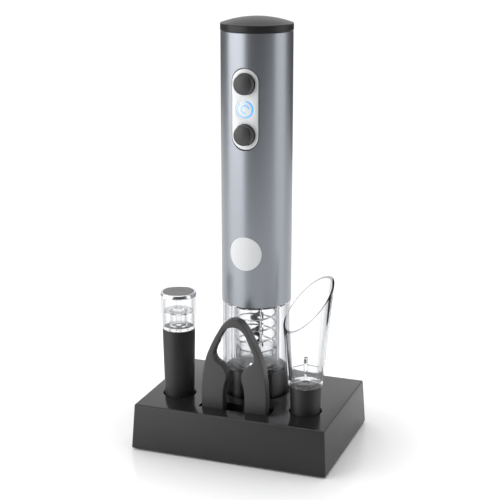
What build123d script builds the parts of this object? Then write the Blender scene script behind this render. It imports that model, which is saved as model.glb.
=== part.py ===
from build123d import *
import math
import os

# Electric wine opener on its table stand, with the vacuum stopper, the foil cutter and the pourer that
# the stand holds. Millimetres, +Z up, the front towards -Y, the origin under the middle of the stand.

# Stand
stand_length = 145.0
stand_depth = 105.0
stand_height = 34.0
stand_draft = 2.0
stand_edge = 1.2
stand_wall = 2.2
stand_top_wall = 2.6
foot_height = 0.8
foot_radius = 6.0
foot_inset = 16.0
cover_thickness = 2.0
cover_gap = 0.3
screw_radius = 1.5
screw_head_radius = 2.8
screw_head_height = 1.2
screw_length = 9.0
screw_boss_radius = 4.0
screw_inset = 9.0
socket_wall = 1.8
socket_floor = 7.0
seat_gap = 0.3

# Opener: places and shells
opener_y = 11.0
recess_depth = 4.0
recess_clearance = 0.9
boss_clearance = 0.5
boss_height = 18.5
boss_wall = 2.0
tube_radius = 25.0
tube_wall = 1.0
tube_length = 191.5
sleeve_step = 0.3
sleeve_wall = 1.8
sleeve_height = 72.5
spigot_length = 9.0
spigot_wall = 1.4
tube_fit = 0.25
neck_bore_radius = 15.3
neck_tube_wall = 1.4
neck_tube_gap = 0.8
rib_count = 6
rib_thickness = 1.4
sleeve_web = 1.8
cap_height = 9.0
cap_rim = 4.6
cap_proud = 0.2
cap_wall = 2.4
cap_roof = 4.8
cap_edge = 0.8
cap_skirt = 7.0
cap_gap = 0.3
cap_hub_radius = 5.0

# Opener: neck guide, its spring and the worm
guide_length = 11.5
guide_wall = 2.6
guide_above_boss = 2.5
guide_clearance = 0.4
spring_wire = 1.2
spring_turns = 4
spring_seat = 0.3
worm_radius = 4.75
worm_wire = 3.2
worm_pitch = 10.5
worm_tip_above_boss = 5.0
worm_point = 5.0
collar_radius = 8.0
collar_below_joint = 5.8
collar_length = 13.5
collar_socket = 5.6
running_clearance = 0.05

# Opener: gear train. Two planetary stages share one internal gear.
gear_module = 0.6
sun_teeth = 12
planet_teeth = 18
planet_count = 3
tooth_addendum = 0.8
tooth_dedendum = 1.05
tooth_backlash = 0.12
pressure_angle = math.radians(20)
gear_width = 6.0
gear_gap = 0.5
stage_pitch = 11.2
carrier_plate = 2.5
carrier_rim = 2.6
planet_pin_radius = 1.5
gearbox_above_joint = 10.4
gearbox_floor = 3.0
gearbox_wall = 2.2
gearbox_length = 30.0
bush_wall = 1.2
spindle_radius = 4.0
motor_plate = 2.0
motor_radius = 12.1
motor_length = 32.0
motor_wall = 0.8
bell_height = 4.0
motor_shaft_radius = 1.0
motor_nose_radius = 3.0
rotor_radius = 9.0

# Opener: chassis, batteries, circuit and switches
chassis_wall = 1.8
chassis_web = 2.0
chassis_length = 99.0
half_gap = 0.1
holder_length = 70.8
holder_floor = 2.0
holder_base = 16.5
cell_radius = 7.1
cell_length = 49.0
cell_nub_radius = 2.7
cell_nub = 1.5
cell_clearance = 0.25
cell_wall = 0.7
contact_height = 2.2
board_thickness = 1.6
board_gap = 0.3
board_width = 22.0
panel_width = 18.6
panel_height = 55.6
panel_below_top = 51.1
panel_thickness = 2.4
panel_inset = 1.0
panel_gap = 0.5
button_radius = 6.95
button_pitch = 34.6
button_proud = 5.2
button_flange = 1.0
button_flange_rim = 1.0
button_clearance = 0.3
button_travel = 0.8
button_bevel = 1.1
lens_radius = 6.4
switch_width = 6.0
switch_clearance = 0.1

# Foil cutter
cutter_front = -37.0
cutter_thickness = 8.0
cutter_arm_end = 13.0
cutter_split = 5.0
cutter_split_gap = 0.35
slot_half_width = 26.5
slot_front = -37.9
slot_back = -24.8
wheel_radius = 2.2
wheel_thickness = 0.6
wheel_clearance = 0.35
wheel_pin_radius = 0.8
wheel_places = ((12.5, 67.5), (11.1, 86.4))

# Vacuum stopper
stopper_x = -49.1
stopper_y = -17.4
stopper_bottom_radius = 10.15
stopper_top_radius = 11.75
stopper_rubber_top = 83.6
stopper_bore = 7.4
barrel_wall = 1.6
barrel_foot = 3.0
head_height = 24.0
head_radius = 12.75
head_wall = 1.7
head_floor = 2.0
pump_ring_height = 3.0
pump_ring_radius = 13.3
pump_knob_radius = 11.6
rod_radius = 2.0
piston_height = 6.0
piston_start = 34.0
socket_clearance = 0.5

# Pourer
pourer_x = 47.2
pourer_y = -19.2
pourer_bottom_radius = 9.3
pourer_top_radius = 11.3
pourer_rubber_top = 53.4
pourer_bore = 6.0
spout_neck_radius = 12.0
spout_mouth_radius = 19.0
spout_top = 129.0
spout_turn = 45
spout_wall = 1.4
spout_low_rim = 94.2
spout_floor = 3.0
spout_floor_thickness = 1.6
pourer_hole = 3.75
baffle_height = 16.5
baffle_web_height = 11.5
baffle_web = 1.2
baffle_turn = 110
baffle_pin = 1.4
baffle_seat = 0.3

LOW = (Align.CENTER, Align.CENTER, Align.MIN)

# Places that follow from the sizes above
sleeve_radius = tube_radius - sleeve_step
boss_radius = sleeve_radius - sleeve_wall - boss_clearance
panel_front = tube_radius - panel_inset
recess_floor = stand_height - recess_depth
boss_top = recess_floor + boss_height + recess_depth - 0.5
sleeve_bottom = recess_floor + seat_gap
joint_z = sleeve_bottom + sleeve_height
tube_top = joint_z + tube_length
tube_bore = tube_radius - tube_wall
worm_tip = boss_top + worm_tip_above_boss
guide_bottom = boss_top + guide_above_boss
guide_top = guide_bottom + guide_length
guide_radius = neck_bore_radius - guide_clearance
spring_top = joint_z - sleeve_web - spring_seat
collar_bottom = joint_z - collar_below_joint
collar_top = collar_bottom + collar_length
gearbox_bottom = joint_z + gearbox_above_joint
gearbox_inner = gearbox_bottom + gearbox_floor
gearbox_top = gearbox_bottom + gearbox_length
ring_teeth = sun_teeth + 2 * planet_teeth
ring_pitch_radius = gear_module * ring_teeth / 2
ring_root_radius = ring_pitch_radius + gear_module * tooth_dedendum
gearbox_radius = ring_root_radius + gearbox_wall
orbit_radius = gear_module * (sun_teeth + planet_teeth) / 2
motor_bottom = gearbox_top + motor_plate
chassis_radius = tube_bore - tube_fit
chassis_bottom = gearbox_bottom
chassis_top = chassis_bottom + chassis_length
holder_bottom = chassis_top + seat_gap
holder_top = holder_bottom + holder_length
cell_bottom = holder_bottom + holder_base + holder_floor + contact_height
cell_top = cell_bottom + cell_length + cell_nub
cell_offset = cell_radius + cell_clearance + cell_wall / 2
holder_front = cell_offset + cell_radius + cell_clearance + cell_wall
board_back = holder_front + board_gap
board_front = board_back + board_thickness
panel_z = tube_top - panel_below_top
panel_back = panel_front - panel_thickness
button_heights = (panel_z + button_pitch / 2, panel_z - button_pitch / 2)
flange_front = panel_back - button_clearance
flange_back = flange_front - button_flange
cap_bottom = tube_top + cap_gap
cap_top = cap_bottom + cap_height
socket_bottom = socket_floor + seat_gap
cutter_middle = cutter_front + cutter_thickness / 2
head_bottom = stopper_rubber_top + 0.1
head_top = head_bottom + head_height
pump_bottom = head_top + seat_gap
spout_bottom = pourer_rubber_top + 0.1


def rod(radius, bottom, top, x=0, y=0):
    """Upright cylinder between two heights."""
    return Pos(x, y, bottom) * Cylinder(radius, top - bottom, align=LOW)


def ring(inner, outer, bottom, top, x=0, y=0):
    """Upright tube between two heights."""
    return rod(outer, bottom, top, x, y) - rod(inner, bottom, top, x, y)


def turned(points, x=0, y=0):
    """Solid turned about an upright axis from radius and height points."""
    outline = Polyline(*[(radius, 0, height) for radius, height in points], close=True)
    return Pos(x, y, 0) * revolve(make_face(outline), Axis.Z, 360)


def box(low, high):
    """Box between two corners."""
    size = [high[i] - low[i] for i in range(3)]
    return Pos(*low) * Box(*size, align=(Align.MIN, Align.MIN, Align.MIN))


def from_front(shape, back, front):
    """Flat shape drawn in X and Z, given a thickness between two distances in front of the opener's axis."""
    return Pos(0, opener_y - back, 0) * extrude(Plane.XZ * shape, front - back)


def on_axis(shape):
    """Move a shape made about the origin onto the opener's axis."""
    return Pos(0, opener_y, 0) * shape


def save(name, shape):
    """Write one sub-part."""
    solids = shape.solids()
    whole = solids[0] if len(solids) == 1 else Compound(children=list(solids))
    whole.label = name
    export_step(whole, os.path.join("parts", name + ".step"))


# ---------------------------------------------------------------- stand
def tapered_block(inset, bottom, top):
    """Block with the stand's drafted sides, set in from its faces."""
    length = stand_length - 2 * inset
    depth = stand_depth - 2 * inset
    low = Pos(0, 0, bottom) * Rectangle(length, depth)
    high = Pos(0, 0, top) * Rectangle(length - 2 * stand_draft, depth - 2 * stand_draft)
    return loft([low, high])


def corner_places(inset):
    """Four places set in from the stand's corners."""
    x = stand_length / 2 - inset
    y = stand_depth / 2 - inset
    return [(x, y), (-x, y), (x, -y), (-x, -y)]


def stand_housing():
    """Hollow moulded stand with the opener's recess and boss, two sockets and the cutter's slot."""
    shell = fillet(tapered_block(0, foot_height, stand_height).edges(), stand_edge)
    inside_top = stand_height - stand_top_wall
    shell -= tapered_block(stand_wall, foot_height, inside_top)
    recess_radius = sleeve_radius + recess_clearance
    for x, y, radius, floor in (
        (0, opener_y, recess_radius, recess_floor),
        (stopper_x, stopper_y, stopper_bottom_radius + 1.1 + socket_clearance, socket_floor),
        (pourer_x, pourer_y, pourer_bottom_radius + 1.6 + socket_clearance, socket_floor),
    ):
        shell += rod(radius + socket_wall, floor - socket_wall, inside_top + 0.5, x, y)
        shell -= rod(radius, floor, stand_height + 1, x, y)
    wall = socket_wall
    slot_low = (-slot_half_width, slot_front, socket_floor)
    slot_high = (slot_half_width, slot_back, stand_height + 1)
    shell += box((slot_low[0] - wall, slot_low[1] - wall, slot_low[2] - wall),
                 (slot_high[0] + wall, slot_high[1] + wall, inside_top + 0.5))
    shell -= box(slot_low, slot_high)
    boss = rod(boss_radius, recess_floor - 0.5, boss_top, 0, opener_y)
    boss = chamfer(boss.edges().sort_by(Axis.Z)[-1], 1.0)
    shell += boss
    shell -= rod(boss_radius - boss_wall, recess_floor - socket_wall, boss_top - boss_wall, 0, opener_y)
    for x, y in corner_places(screw_inset):
        shell += rod(screw_boss_radius, foot_height + cover_thickness + cover_gap, inside_top + 0.5, x, y)
        shell -= rod(screw_radius, foot_height, foot_height + screw_length + 1, x, y)
    return shell


def stand_cover():
    """Flat cover that closes the stand from below."""
    inset = stand_wall + cover_gap
    length = stand_length - 2 * inset
    depth = stand_depth - 2 * inset
    cover = Pos(0, 0, foot_height) * Box(length, depth, cover_thickness, align=LOW)
    cover = chamfer(cover.edges().filter_by(Axis.Z), 1.5)
    for x, y in corner_places(screw_inset):
        cover -= rod(screw_radius + 0.2, foot_height, foot_height + cover_thickness, x, y)
        cover -= rod(screw_head_radius + 0.2, foot_height, foot_height + screw_head_height + 0.1, x, y)
    return cover


def stand_screws():
    """Four countersunk-flush screws up through the cover."""
    bodies = Part()
    for x, y in corner_places(screw_inset):
        head = rod(screw_head_radius, foot_height + 0.1, foot_height + 0.1 + screw_head_height, x, y)
        bodies += head + rod(screw_radius - running_clearance, foot_height + 0.2, foot_height + screw_length, x, y)
    return bodies


def stand_feet():
    """Four thin rubber pads under the cover."""
    bodies = Part()
    for x, y in corner_places(screw_inset + foot_inset):
        bodies += rod(foot_radius, 0, foot_height, x, y)
    return bodies


# ---------------------------------------------------------------- opener shells
def stadium(width, height, z):
    """Upright slot shape in the front plane."""
    return Pos(0, z) * Rot(0, 0, 90) * SlotOverall(height, width)


def body_tube():
    """Aluminium tube with the button panel's window."""
    tube = ring(tube_bore, tube_radius, joint_z, tube_top, 0, opener_y)
    window = stadium(panel_width + 2 * panel_gap, panel_height + 2 * panel_gap, panel_z)
    return tube - from_front(window, tube_radius / 2, tube_radius + 1)


def clear_sleeve():
    """Clear moulding: outer wall, ribs, bottle-neck tube, top web and the spigot that fits the tube."""
    wall_bore = sleeve_radius - sleeve_wall
    spigot_radius = tube_bore - tube_fit
    tube_outer = neck_bore_radius + neck_tube_wall
    body = ring(wall_bore, sleeve_radius, sleeve_bottom, joint_z)
    body += ring(spigot_radius - spigot_wall, spigot_radius, joint_z - sleeve_web, joint_z + spigot_length)
    neck_bottom = boss_top + neck_tube_gap
    body += ring(neck_bore_radius, tube_outer, neck_bottom, joint_z)
    body += ring(collar_radius + 1, sleeve_radius - 0.5, joint_z - sleeve_web, joint_z)
    span = wall_bore - tube_outer + 1
    for k in range(rib_count):
        rib = Pos(tube_outer - 0.5, -rib_thickness / 2, neck_bottom) * Box(
            span, rib_thickness, joint_z - neck_bottom, align=(Align.MIN, Align.MIN, Align.MIN))
        body += Rot(0, 0, 360 / rib_count * k) * rib
    return on_axis(body)


def cap():
    """Twist-off cap: domed top, rim, skirt inside the tube and a hub that turns on the contact carrier."""
    outer = tube_radius + cap_proud
    skirt = tube_bore - 0.3
    roof = cap_top - cap_roof
    rise = cap_height - cap_rim
    dome_radius = (outer ** 2 + rise ** 2) / (2 * rise)
    body = rod(outer, cap_bottom, cap_top) & Pos(0, 0, cap_top - dome_radius) * Sphere(dome_radius)
    rim = body.edges().filter_by(lambda edge: abs(edge.center().Z - cap_bottom - cap_rim) < 0.1)
    body = fillet(rim, cap_edge)
    body = fillet(body.edges().sort_by(Axis.Z)[0], 0.5)
    body += rod(skirt, cap_bottom - cap_skirt, cap_bottom + 0.5)
    body -= rod(skirt - cap_wall / 1.5, cap_bottom - cap_skirt, cap_bottom + 0.5)
    body -= rod(skirt - cap_wall / 1.5, cap_bottom, roof)
    body += ring(cap_hub_radius + 0.3, cap_hub_radius + 2, cap_bottom, roof + 0.5)
    return on_axis(body)


# ---------------------------------------------------------------- neck guide and worm
def neck_guide():
    """Sliding ring that the bottle's lip pushes up."""
    bore = guide_radius - guide_wall
    ring_body = turned([(bore, guide_bottom + 2), (guide_radius - 1, guide_bottom), (guide_radius, guide_bottom + 1),
                        (guide_radius, guide_top), (bore, guide_top)])
    return on_axis(ring_body)


def coil(pitch, height, radius, wire, start):
    """Wire wound round the axis, from one height up."""
    path = Pos(0, 0, start) * Helix(pitch, height, radius)
    section = Plane(origin=path @ 0, z_dir=path % 0) * Circle(wire / 2)
    return sweep(section, path, is_frenet=True)


def neck_spring():
    """Return spring between the neck guide and the sleeve's web."""
    height = spring_top - guide_top - spring_seat - spring_wire
    start = guide_top + spring_seat + spring_wire / 2
    mean = guide_radius - spring_wire / 2 - 0.3
    return on_axis(coil(height / spring_turns, height, mean, spring_wire, start))


def worm():
    """Steel worm with a pointed tip."""
    mean = worm_radius - worm_wire / 2
    start = worm_tip + worm_wire / 2
    top = collar_bottom + collar_socket - 0.3 - worm_wire / 2
    body = coil(worm_pitch, top - start, mean, worm_wire, start)
    tip = Plane(origin=(mean, 0, start), z_dir=(0, -1, -worm_pitch / (2 * math.pi * mean)))
    point = tip * Cone(worm_wire / 2, 0.3, worm_point / 2, align=LOW)
    return on_axis(body + point)


def worm_collar():
    """Collar that holds the worm's top end and sits on the output spindle."""
    body = rod(collar_radius, collar_bottom, collar_top)
    body = chamfer(body.edges().sort_by(Axis.Z)[0], 1.0)
    body -= rod(worm_radius + 0.1, collar_bottom, collar_bottom + collar_socket)
    body -= rod(spindle_radius, collar_bottom + collar_socket + 1.2, collar_top)
    return on_axis(body)


# ---------------------------------------------------------------- gear train
def involute(angle):
    return math.tan(angle) - angle


def tooth_outline(teeth, tip_radius, root_radius, slack):
    """Closed outline of a spur gear with a tooth centred on +X. Slack thins each tooth."""
    pitch_radius = gear_module * teeth / 2
    base_radius = pitch_radius * math.cos(pressure_angle)
    half_at_pitch = math.pi / (2 * teeth) - slack / (2 * pitch_radius)
    start = max(base_radius, root_radius)
    steps = 4

    def half_width(radius):
        rolled = math.acos(min(1.0, base_radius / radius))
        return half_at_pitch + involute(pressure_angle) - involute(rolled)

    rising = [(root_radius, half_width(start))] if root_radius < start else []
    for i in range(steps + 1):
        radius = start + (tip_radius - start) * i / steps
        rising.append((radius, half_width(radius)))
    points = []
    for k in range(teeth):
        middle = 2 * math.pi * k / teeth
        flank = [(r, middle - w) for r, w in rising] + [(r, middle + w) for r, w in reversed(rising)]
        points += [(r * math.cos(a), r * math.sin(a)) for r, a in flank]
    return make_face(Polyline(*points, close=True))


def spur_gear(teeth, bottom, width):
    """External gear standing on a height."""
    pitch_radius = gear_module * teeth / 2
    outline = tooth_outline(teeth, pitch_radius + gear_module * tooth_addendum,
                            pitch_radius - gear_module * tooth_dedendum, tooth_backlash / 2)
    return Pos(0, 0, bottom) * extrude(outline, width)


def stage_bottom(stage):
    """Lowest height of the planets of a stage: 0 is the output stage, 1 the motor's."""
    return gearbox_inner + 1 + carrier_plate + gear_gap + stage * stage_pitch


def planet(stage, index):
    """Planet gear, with a tooth gap facing the sun."""
    bottom = stage_bottom(stage)
    gear = Rot(0, 0, 180 / planet_teeth) * spur_gear(planet_teeth, bottom, gear_width)
    gear -= rod(planet_pin_radius + running_clearance, bottom, bottom + gear_width)
    return on_axis(Rot(0, 0, 360 / planet_count * index) * Pos(orbit_radius, 0, 0) * gear)


def carrier_disc(stage):
    """Planet carrier plate with its pins."""
    top = stage_bottom(stage) - gear_gap
    disc = rod(orbit_radius + carrier_rim, top - carrier_plate, top)
    for k in range(planet_count):
        pin = rod(planet_pin_radius, top, top + gear_gap + gear_width, orbit_radius, 0)
        disc += Rot(0, 0, 360 / planet_count * k) * pin
    return disc


def output_carrier():
    """Slow carrier with the spindle that turns the worm's collar."""
    low = collar_bottom + collar_socket + 1.4
    return on_axis(carrier_disc(0) + rod(spindle_radius, low, gearbox_inner + 1.1))


def middle_carrier():
    """Carrier of the motor's stage, with the output stage's sun under it."""
    low = stage_bottom(0) + 0.3
    plate_bottom = stage_bottom(1) - gear_gap - carrier_plate
    return on_axis(carrier_disc(1) + spur_gear(sun_teeth, low, plate_bottom - low + 0.1))


def gearbox_housing():
    """Moulded gearbox with its internal gear and a floor that holds the bush."""
    shell = rod(gearbox_radius, gearbox_bottom, gearbox_top)
    teeth = tooth_outline(ring_teeth, ring_root_radius, ring_pitch_radius - gear_module * tooth_addendum,
                          -tooth_backlash / 2)
    teeth = Rot(0, 0, 180 / ring_teeth) * teeth
    shell -= Pos(0, 0, gearbox_inner) * extrude(teeth, gearbox_top - gearbox_inner)
    shell -= rod(spindle_radius + running_clearance + bush_wall, gearbox_bottom, gearbox_inner)
    return on_axis(shell)


def output_bush():
    """Sintered bush for the spindle."""
    bore = spindle_radius + running_clearance
    return ring(bore, bore + bush_wall, gearbox_bottom, gearbox_inner + 0.5, 0, opener_y)


def motor_mount():
    """Steel plate between gearbox and motor."""
    plate = ring(motor_nose_radius + 0.1, gearbox_radius, gearbox_top, motor_bottom)
    for side in (-1, 1):
        plate -= rod(screw_radius - 0.2, gearbox_top, motor_bottom, side * motor_radius * 0.62, 0)
    return on_axis(plate)


def motor_can():
    """Drawn steel can with its nose."""
    top = motor_bottom + motor_length
    can = rod(motor_radius, motor_bottom, top)
    can += rod(motor_nose_radius, motor_bottom - 1.5, motor_bottom)
    can -= rod(motor_radius - motor_wall, motor_bottom + motor_wall, top)
    can -= rod(motor_shaft_radius + running_clearance, motor_bottom - 1.5, motor_bottom + motor_wall)
    return on_axis(can)


def motor_bell():
    """Plastic end bell with two terminals."""
    low = motor_bottom + motor_length
    bell = rod(motor_radius, low, low + bell_height)
    bell -= rod(motor_shaft_radius + 0.5, low, low + bell_height - 1)
    for side in (-1, 1):
        bell += Pos(side * motor_radius * 0.6, 0, low + bell_height) * Box(0.8, 2.4, 4, align=LOW)
    return on_axis(bell)


def motor_rotor():
    """Armature, shaft and the motor's pinion."""
    pinion_low = stage_bottom(1)
    pinion_top = pinion_low + gear_width + 1
    low = motor_bottom + 4
    shaft = rod(motor_shaft_radius, pinion_top, motor_bottom + motor_length + bell_height - 2)
    armature = rod(rotor_radius, low, low + 18) + rod(rotor_radius / 3, low + 18, low + 25)
    return on_axis(shaft + armature + spur_gear(sun_teeth, pinion_low, pinion_top - pinion_low))


# ---------------------------------------------------------------- chassis, batteries and circuit
def chassis():
    """Round chassis that grips the gearbox and the motor, before it is split in two halves."""
    low = chassis_bottom
    body = ring(chassis_radius - chassis_wall, chassis_radius, low + spigot_length, chassis_top)
    body += ring(gearbox_radius + 0.1, chassis_radius - spigot_wall - 0.2, low, low + chassis_web)
    body += ring(chassis_radius - chassis_wall - 2.4, chassis_radius - spigot_wall - 0.2, low, low + spigot_length)
    body += ring(chassis_radius - chassis_wall - 2.4, chassis_radius - 0.2, low + spigot_length,
                 low + spigot_length + chassis_web)
    body += ring(gearbox_radius + 0.1, chassis_radius - 0.5, gearbox_top - 4, gearbox_top - 4 + chassis_web)
    for height in (motor_bottom + 5, motor_bottom + motor_length - 6):
        body += ring(motor_radius + 0.1, chassis_radius - 0.5, height, height + chassis_web)
    body += ring(3.5, chassis_radius - 0.5, chassis_top - chassis_web, chassis_top)
    return body


def chassis_half(side):
    """One half of the chassis: -1 is the front."""
    reach = chassis_radius + 1
    if side < 0:
        keep = box((-reach, -reach, chassis_bottom), (reach, -half_gap / 2, chassis_top))
    else:
        keep = box((-reach, half_gap / 2, chassis_bottom), (reach, reach, chassis_top))
    half = chassis() & keep
    boss_y = (0.05, 5.0) if side > 0 else (-5.0, -0.05)
    for x, z in chassis_screw_places():
        half += box((x - 2.4, boss_y[0], z - 2.4), (x + 2.4, boss_y[1], z + 2.4))
        half -= Pos(x, 0, z) * Rot(90, 0, 0) * Cylinder(0.9, 14)
    return on_axis(half)


def chassis_screw_places():
    """Across and up places of the four screws that join the chassis halves."""
    x = chassis_radius - chassis_wall - 2.8
    return [(side * x, z) for side in (-1, 1) for z in (motor_bottom + 14, chassis_top - 10)]


def chassis_screws():
    """Screws through the two halves of the chassis, with their heads at the front."""
    bodies = Part()
    for x, z in chassis_screw_places():
        shank = Pos(x, -0.5, z) * Rot(90, 0, 0) * Cylinder(0.85, 9)
        head = Pos(x, -5.6, z) * Rot(90, 0, 0) * Cylinder(1.7, 1.2)
        bodies += on_axis(shank + head)
    return bodies


def cell_places():
    return [(sx * cell_offset, opener_y + sy * cell_offset) for sx in (-1, 1) for sy in (-1, 1)]


def battery_holder():
    """Moulded holder for four cells, with a flat front for the circuit board."""
    body = rod(chassis_radius, holder_bottom, holder_top, 0, opener_y)
    front = opener_y - holder_front
    body -= box((-tube_radius, opener_y - tube_radius - 1, holder_bottom), (tube_radius, front, holder_top))
    body -= rod(holder_front - 1, holder_bottom, holder_bottom + holder_base, 0, opener_y)
    floor = holder_bottom + holder_base + holder_floor
    for x, y in cell_places():
        body -= rod(cell_radius + cell_clearance, floor, holder_top, x, y)
    return body


def battery_cells():
    """Four AA cells."""
    bodies = Part()
    for x, y in cell_places():
        cell = rod(cell_radius, cell_bottom, cell_bottom + cell_length, x, y)
        bodies += cell + rod(cell_nub_radius, cell_bottom + cell_length, cell_top, x, y)
    return bodies


def contact_springs():
    """Flat-wound springs under the cells."""
    floor = cell_bottom - contact_height
    bodies = Part()
    for x, y in cell_places():
        wire = 0.5
        spring = coil(0.55, contact_height - wire - 0.2, 3.5, wire, floor + 0.1 + wire / 2)
        bodies += Pos(x, y, 0) * spring
    return bodies


def contact_plates():
    """Two bridging contacts over the cells."""
    bodies = Part()
    reach = cell_offset + 4
    for side in (-1, 1):
        x = side * cell_offset
        bodies += box((x - 4, opener_y - reach, cell_top + 0.2), (x + 4, opener_y + reach, cell_top + 0.7))
    return bodies


def contact_carrier():
    """Disc that carries the contacts and a post for the cap."""
    low = cell_top + 0.7
    disc = rod(tube_bore - 0.3 - cap_wall / 1.5 - 0.3, low, low + 2.2)
    return on_axis(disc + rod(cap_hub_radius, low + 2, cap_top - cap_roof - cap_gap))


def circuit_board():
    """Control board behind the button panel."""
    outline = Pos(0, panel_z) * Rectangle(board_width, panel_height - 2)
    return from_front(outline, board_back, board_front)


def tact_switches():
    """Two push switches under the buttons."""
    bodies = Part()
    top = flange_back - button_travel - switch_clearance
    for z in button_heights:
        bodies += from_front(Pos(0, z) * Rectangle(switch_width, switch_width), board_front, top - 0.6)
        bodies += from_front(Pos(0, z) * Circle(switch_width / 4), top - 0.6, top)
    return bodies


def status_light():
    """Small lamp on the board behind the lens."""
    body = from_front(Pos(0, panel_z) * Circle(1.5), board_front, board_front + 2.4)
    return body + from_front(Pos(0, panel_z) * Circle(1.9), board_front, board_front + 0.8)


def button_panel():
    """Bright panel with two button holes and the lens hole."""
    body = from_front(stadium(panel_width, panel_height, panel_z), panel_back, panel_front)
    body = fillet(body.faces().sort_by(Axis.Y)[0].outer_wire().edges(), 0.5)
    for z in button_heights:
        body -= from_front(Pos(0, z) * Circle(button_radius + button_clearance), panel_back, panel_front)
    return body - from_front(Pos(0, panel_z) * Circle(lens_radius + 0.1), panel_back, panel_front)


def status_lens():
    """Translucent lens with a rim behind the panel."""
    lens = from_front(Pos(0, panel_z) * Circle(lens_radius), panel_back, panel_front - 0.15)
    return lens + from_front(Pos(0, panel_z) * Circle(lens_radius + 1), panel_back - 0.8, panel_back)


def button(z):
    """Round push button with a bevelled front and a flange behind the panel."""
    front = panel_front + button_proud
    body = from_front(Pos(0, z) * Circle(button_radius), flange_front, front)
    body = chamfer(body.faces().sort_by(Axis.Y)[0].outer_wire().edges(), button_bevel)
    return body + from_front(Pos(0, z) * Circle(button_radius + button_flange_rim), flange_back, flange_front)


# ---------------------------------------------------------------- foil cutter
def cutter_outline():
    """Right half of the bow in the front plane, from the crown down the outside and back up the inside."""
    outer = Spline((0, 100.8), (2.4, 100.5), (6.6, 98.2), (12.0, 90.2), (16.6, 81.3), (20.6, 71.3), (23.0, 60),
                   (24.2, 47), (24.2, 34))
    upper = Spline((0, 95.2), (1.8, 95.0), (4.6, 93.9), (8.4, 89.6), (11.4, 83.0), (14.0, 77.6), (14.9, 73.4),
                   (13.4, 70.0), (9.0, 66.6), (6.2, 62.4), (5.3, 58.6), (6.9, 52), (7.9, 44), (7.6, 34))
    outer_leg = Line((24.2, 34), (23.4, cutter_arm_end))
    foot = Line((23.4, cutter_arm_end), (8.4, cutter_arm_end))
    inner_leg = Line((8.4, cutter_arm_end), (7.6, 34))
    crown = Line((0, 100.8), (0, 95.2))
    return make_face(Wire([outer, outer_leg, foot, inner_leg, upper, crown]))


def cutter_half():
    """Right half of the bow as a solid."""
    solid = extrude(Plane.XZ * cutter_outline(), cutter_thickness)
    low = solid.bounding_box().min.Y
    return Pos(0, cutter_front - low, 0) * solid


def mirror_left(shape):
    return mirror(shape, about=Plane.YZ)


def cutter_bow():
    """Springy crown between the two arms."""
    keep = box((-1, cutter_front - 1, 80), (cutter_split, cutter_front + cutter_thickness + 1, 110))
    half = cutter_half() & keep
    return half + mirror_left(half)


def cutter_arm(side):
    """Arm of the foil cutter with slits for its two wheels: 1 is the right one."""
    start = cutter_split + cutter_split_gap
    keep = box((start, cutter_front - 1, 0), (60, cutter_front + cutter_thickness + 1, 110))
    arm = cutter_half() & keep
    slit = wheel_thickness / 2 + wheel_clearance
    for x, z in wheel_places:
        place = Pos(x, cutter_middle, z) * Rot(90, 0, 0)
        arm -= place * Cylinder(wheel_radius + wheel_clearance, 2 * slit)
        arm -= place * Cylinder(wheel_pin_radius, cutter_thickness - 2)
    return arm if side > 0 else mirror_left(arm)


def cutter_pins(side):
    """Steel pins of one arm's wheels."""
    bodies = Part()
    for x, z in wheel_places:
        bodies += Pos(side * x, cutter_middle, z) * Rot(90, 0, 0) * Cylinder(wheel_pin_radius, cutter_thickness - 2)
    return bodies


def cutter_wheel(side, index):
    """Sharpened steel wheel."""
    x, z = wheel_places[index]
    bevel = wheel_thickness / 2
    disc = turned([(wheel_pin_radius + running_clearance, -bevel), (wheel_radius - 0.8, -bevel), (wheel_radius, -0.05),
                   (wheel_radius, 0.05), (wheel_radius - 0.8, bevel), (wheel_pin_radius + running_clearance, bevel)])
    return Pos(side * x, cutter_middle, z) * Rot(90, 0, 0) * disc


# ---------------------------------------------------------------- vacuum stopper
def stopper_rubber():
    """Tapered rubber body that seals in the bottle's neck."""
    low = socket_bottom
    return turned([(stopper_bore, low), (stopper_bottom_radius, low), (stopper_top_radius, stopper_rubber_top),
                   (stopper_bore, stopper_rubber_top)], stopper_x, stopper_y)


def stopper_barrel():
    """Pump barrel inside the rubber, closed at the foot but for the valve hole."""
    low = socket_bottom + 1
    top = stopper_rubber_top - 0.5
    outer = stopper_bore - 0.05
    body = ring(outer - barrel_wall, outer, low, top, stopper_x, stopper_y)
    return body + ring(1.5, outer, low, low + barrel_foot, stopper_x, stopper_y)


def stopper_valve():
    """Rubber duckbill over the valve hole."""
    low = socket_bottom + 1 + barrel_foot
    return turned([(0, low), (3.5, low), (3.5, low + 1), (0.6, low + 4), (0, low + 4)], stopper_x, stopper_y)


def stopper_head():
    """Clear head with a floor that guides the rod."""
    neck = stopper_top_radius + 0.05
    guide = rod_radius + running_clearance
    body = turned([(guide, head_bottom), (neck, head_bottom), (head_radius - 0.1, head_bottom + 11), (head_radius, head_top),
                   (head_radius - head_wall, head_top), (head_radius - head_wall - 0.3, head_bottom + head_floor),
                   (guide, head_bottom + head_floor)], stopper_x, stopper_y)
    return body + ring(5.0, 6.4, head_bottom + head_floor - 0.1, head_bottom + 15, stopper_x, stopper_y)


def pump_ring():
    """Chrome ring round the knob."""
    top = pump_bottom + pump_ring_height
    return turned([(pump_knob_radius, pump_bottom), (pump_ring_radius - 0.6, pump_bottom), (pump_ring_radius, pump_bottom + 1.5),
                   (pump_ring_radius - 0.5, top), (pump_knob_radius, top)], stopper_x, stopper_y)


def pump_knob():
    """Dark disc that fills the ring."""
    top = pump_bottom + pump_ring_height - 0.3
    return rod(pump_knob_radius - 0.02, pump_bottom, top, stopper_x, stopper_y)


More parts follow.
